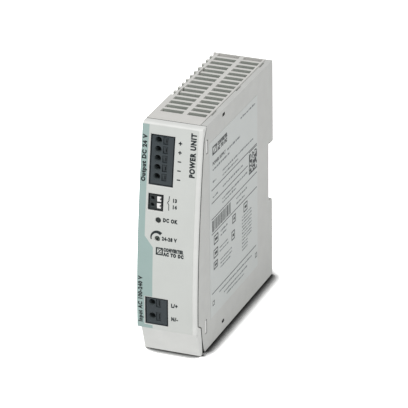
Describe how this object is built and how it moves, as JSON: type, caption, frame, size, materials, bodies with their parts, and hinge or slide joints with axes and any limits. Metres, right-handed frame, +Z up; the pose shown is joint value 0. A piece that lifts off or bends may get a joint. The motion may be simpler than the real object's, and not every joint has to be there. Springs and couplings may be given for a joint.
{
  "type": "din rail power supply",
  "caption": "Slim 24 V rail-mounted power supply: curved front, push-in terminals with release buttons, vented top, rail groove with a sliding latch.",
  "frame": {"origin": "centre of the rail seat, in the groove at the back of the case", "axes": "+Y out of the back towards the rail, +Z up, +X to the right seen from the front"},
  "size_m": [0.0346, 0.1167, 0.13],
  "materials": {
    "housing": "fine matt moulded polycarbonate, warm light grey",
    "cover": "fine matt moulded polycarbonate, light grey",
    "bezel": "fine matt moulded polycarbonate, warm light grey",
    "foil": "printed polyester foil, light greenish grey with a teal band",
    "label": "printed label film, light grey",
    "terminal_black": "matt black glass-filled nylon",
    "button_dark": "matt black nylon",
    "button_white": "satin white nylon",
    "contact": "tinned copper",
    "spring_steel": "stainless spring steel",
    "light_pipe": "clear moulded acrylic",
    "led": "clear epoxy",
    "trimmer": "blue moulded plastic",
    "rotor": "white moulded plastic",
    "board": "green solder mask on glass-epoxy",
    "dark_plastic": "black moulded epoxy",
    "sheet": "thin pressboard",
    "ceramic": "glazed ceramic",
    "blue_coat": "blue dipped epoxy",
    "green_coat": "dark green dipped epoxy",
    "film_cap": "yellow moulded plastic case",
    "ferrite": "dark sintered ferrite",
    "powder_core": "painted iron powder",
    "copper": "enamelled copper wire",
    "can_black": "printed sleeve on an aluminium can",
    "can_green": "printed sleeve on an aluminium can",
    "aluminium": "mill finish extrusion",
    "tape": "yellow polyester tape",
    "relay": "cream moulded plastic",
    "steel": "zinc plated steel",
    "latch": "matt light grey nylon"
  },
  "bodies": {
    "case": {"housing_shell": "housing", "side_cover": "cover", "front_bezel": "bezel", "front_foil": "foil", "side_label": "label", "output_terminal_block": "terminal_black", "signal_terminal_block": "terminal_black", "input_terminal_block": "terminal_black", "output_contacts": "contact", "output_clamp_springs": "spring_steel", "signal_contacts": "contact", "signal_clamp_springs": "spring_steel", "input_contacts": "contact", "input_clamp_springs": "spring_steel", "led_light_pipe": "light_pipe", "status_led": "led", "trimmer_body": "trimmer", "main_circuit_board": "board", "control_circuit_board": "board", "board_connector": "dark_plastic", "insulating_sheet": "sheet", "fuse": "ceramic", "fuse_clips": "contact", "varistor": "blue_coat", "inrush_thermistor": "green_coat", "x_capacitor": "film_cap", "y_capacitors": "blue_coat", "mains_choke_core": "ferrite", "mains_choke_windings": "copper", "bridge_rectifier": "dark_plastic", "bulk_capacitors": "can_black", "primary_heatsink": "aluminium", "primary_transistor": "dark_plastic", "transformer_core": "ferrite", "transformer_bobbin": "dark_plastic", "transformer_winding": "tape", "secondary_heatsink": "aluminium", "rectifier_transistors": "dark_plastic", "heatsink_screws": "steel", "output_capacitors": "can_green", "output_choke_core": "powder_core", "output_choke_winding": "copper", "signal_relay": "relay", "optocouplers": "dark_plastic", "control_ics": "dark_plastic", "latch_spring": "spring_steel"},
    "release_button_output_1": {"release_button_output_1": "button_dark"},
    "release_button_output_2": {"release_button_output_2": "button_dark"},
    "release_button_output_3": {"release_button_output_3": "button_dark"},
    "release_button_output_4": {"release_button_output_4": "button_dark"},
    "release_button_output_5": {"release_button_output_5": "button_dark"},
    "release_button_signal_13": {"release_button_signal_13": "button_white"},
    "release_button_signal_14": {"release_button_signal_14": "button_white"},
    "release_button_input_line": {"release_button_input_line": "button_dark"},
    "release_button_input_neutral": {"release_button_input_neutral": "button_dark"},
    "trimmer_rotor": {"trimmer_rotor": "rotor"},
    "rail_latch": {"rail_latch": "latch"}
  },
  "joints": [
    {"name": "press_output_1", "type": "slide", "parent": "case", "child": "release_button_output_1", "axis": [0, 1, 0], "range_m": [0, 0.0012], "stiffness_N_per_m": 1500, "springref_m": -0.001},
    {"name": "press_output_2", "type": "slide", "parent": "case", "child": "release_button_output_2", "axis": [0, 1, 0], "range_m": [0, 0.0012], "stiffness_N_per_m": 1500, "springref_m": -0.001},
    {"name": "press_output_3", "type": "slide", "parent": "case", "child": "release_button_output_3", "axis": [0, 1, 0], "range_m": [0, 0.0012], "stiffness_N_per_m": 1500, "springref_m": -0.001},
    {"name": "press_output_4", "type": "slide", "parent": "case", "child": "release_button_output_4", "axis": [0, 1, 0], "range_m": [0, 0.0012], "stiffness_N_per_m": 1500, "springref_m": -0.001},
    {"name": "press_output_5", "type": "slide", "parent": "case", "child": "release_button_output_5", "axis": [0, 1, 0], "range_m": [0, 0.0012], "stiffness_N_per_m": 1500, "springref_m": -0.001},
    {"name": "press_signal_13", "type": "slide", "parent": "case", "child": "release_button_signal_13", "axis": [0, 1, 0], "range_m": [0, 0.0012], "stiffness_N_per_m": 1500, "springref_m": -0.001},
    {"name": "press_signal_14", "type": "slide", "parent": "case", "child": "release_button_signal_14", "axis": [0, 1, 0], "range_m": [0, 0.0012], "stiffness_N_per_m": 1500, "springref_m": -0.001},
    {"name": "press_input_line", "type": "slide", "parent": "case", "child": "release_button_input_line", "axis": [0, 1, 0], "range_m": [0, 0.0012], "stiffness_N_per_m": 1500, "springref_m": -0.001},
    {"name": "press_input_neutral", "type": "slide", "parent": "case", "child": "release_button_input_neutral", "axis": [0, 1, 0], "range_m": [0, 0.0012], "stiffness_N_per_m": 1500, "springref_m": -0.001},
    {"name": "trimmer_turn", "type": "hinge", "parent": "case", "child": "trimmer_rotor", "pos_m": [-0.00605, -0.102, 0.00215], "axis": [0, 1, 0], "range_deg": [-130, 130]},
    {"name": "latch_slide", "type": "slide", "parent": "case", "child": "rail_latch", "axis": [0, 0, -1], "range_m": [0, 0.005], "stiffness_N_per_m": 1200, "springref_m": -0.004, "deforming": ["latch_spring"]}
  ]
}
